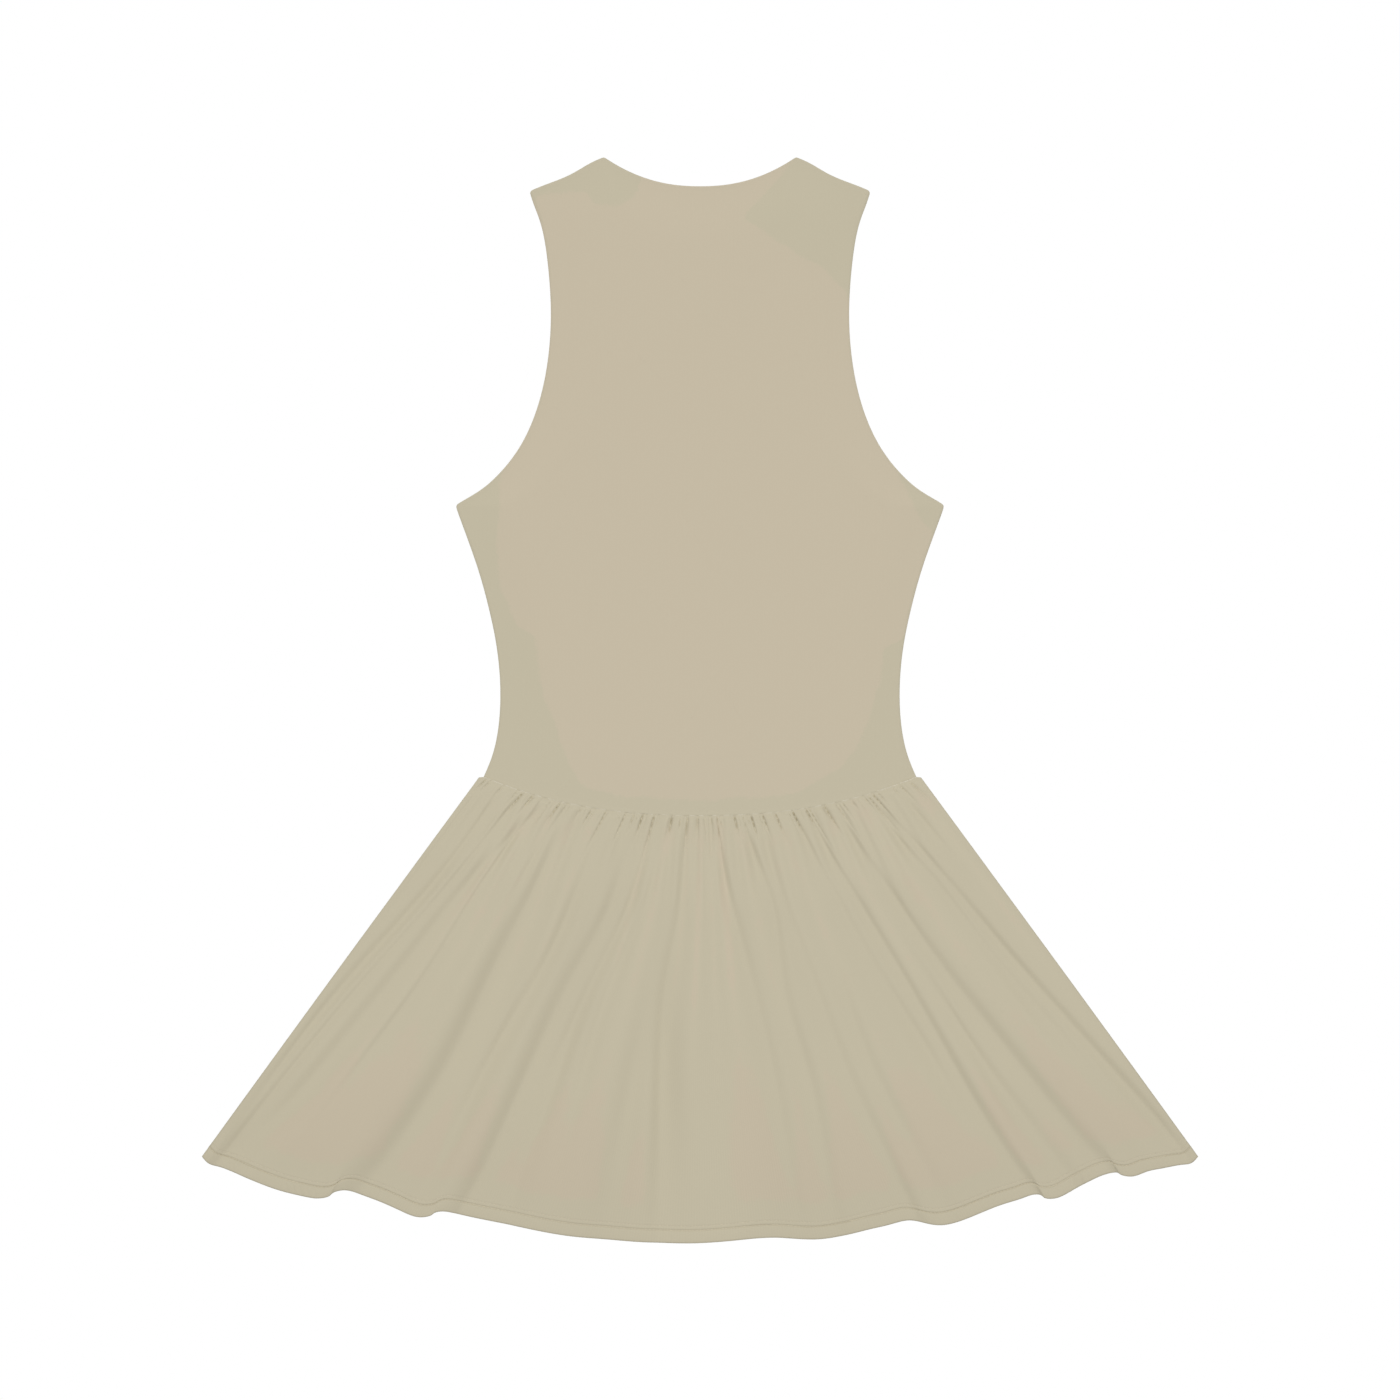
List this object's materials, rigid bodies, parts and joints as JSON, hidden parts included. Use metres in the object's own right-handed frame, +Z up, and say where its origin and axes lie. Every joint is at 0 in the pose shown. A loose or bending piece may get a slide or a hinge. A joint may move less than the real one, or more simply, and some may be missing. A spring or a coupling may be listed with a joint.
{
  "type": "zip-front dress",
  "caption": "Sleeveless beige zip-front dress, laid flat back up, with a dropped waist seam, a gathered flared skirt with long soft folds, and a swinging zip pull.",
  "frame": {"origin": "centre of the dress's outline on the surface that it lies on, under its front", "axes": "+X to the right with the neck up, +Y from the hem towards the neck, +Z up out of the back"},
  "size_m": [0.8168, 0.8907, 0.0058],
  "materials": {
    "bodice_cloth": "matte cotton jersey",
    "skirt_cloth": "matte cotton jersey",
    "zip_tape_cloth": "woven zip tape",
    "zip_teeth": "dyed coil teeth",
    "zip_metal": "warm nickel plating"
  },
  "bodies": {
    "garment": {"bodice_back": "bodice_cloth", "skirt_back": "skirt_cloth", "bodice_front_left": "bodice_cloth", "bodice_front_right": "bodice_cloth", "skirt_front": "skirt_cloth", "zip_tape_left": "zip_tape_cloth", "zip_tape_right": "zip_tape_cloth", "zip_chain": "zip_teeth", "zip_slider": "zip_metal"},
    "pull": {"zip_pull": "zip_metal"}
  },
  "joints": [
    {"name": "zip_pull_swing", "type": "hinge", "parent": "garment", "child": "pull", "pos_m": [0, 0.35035, 0.00095], "axis": [1, 0, 0], "range_deg": [0, 170]}
  ]
}
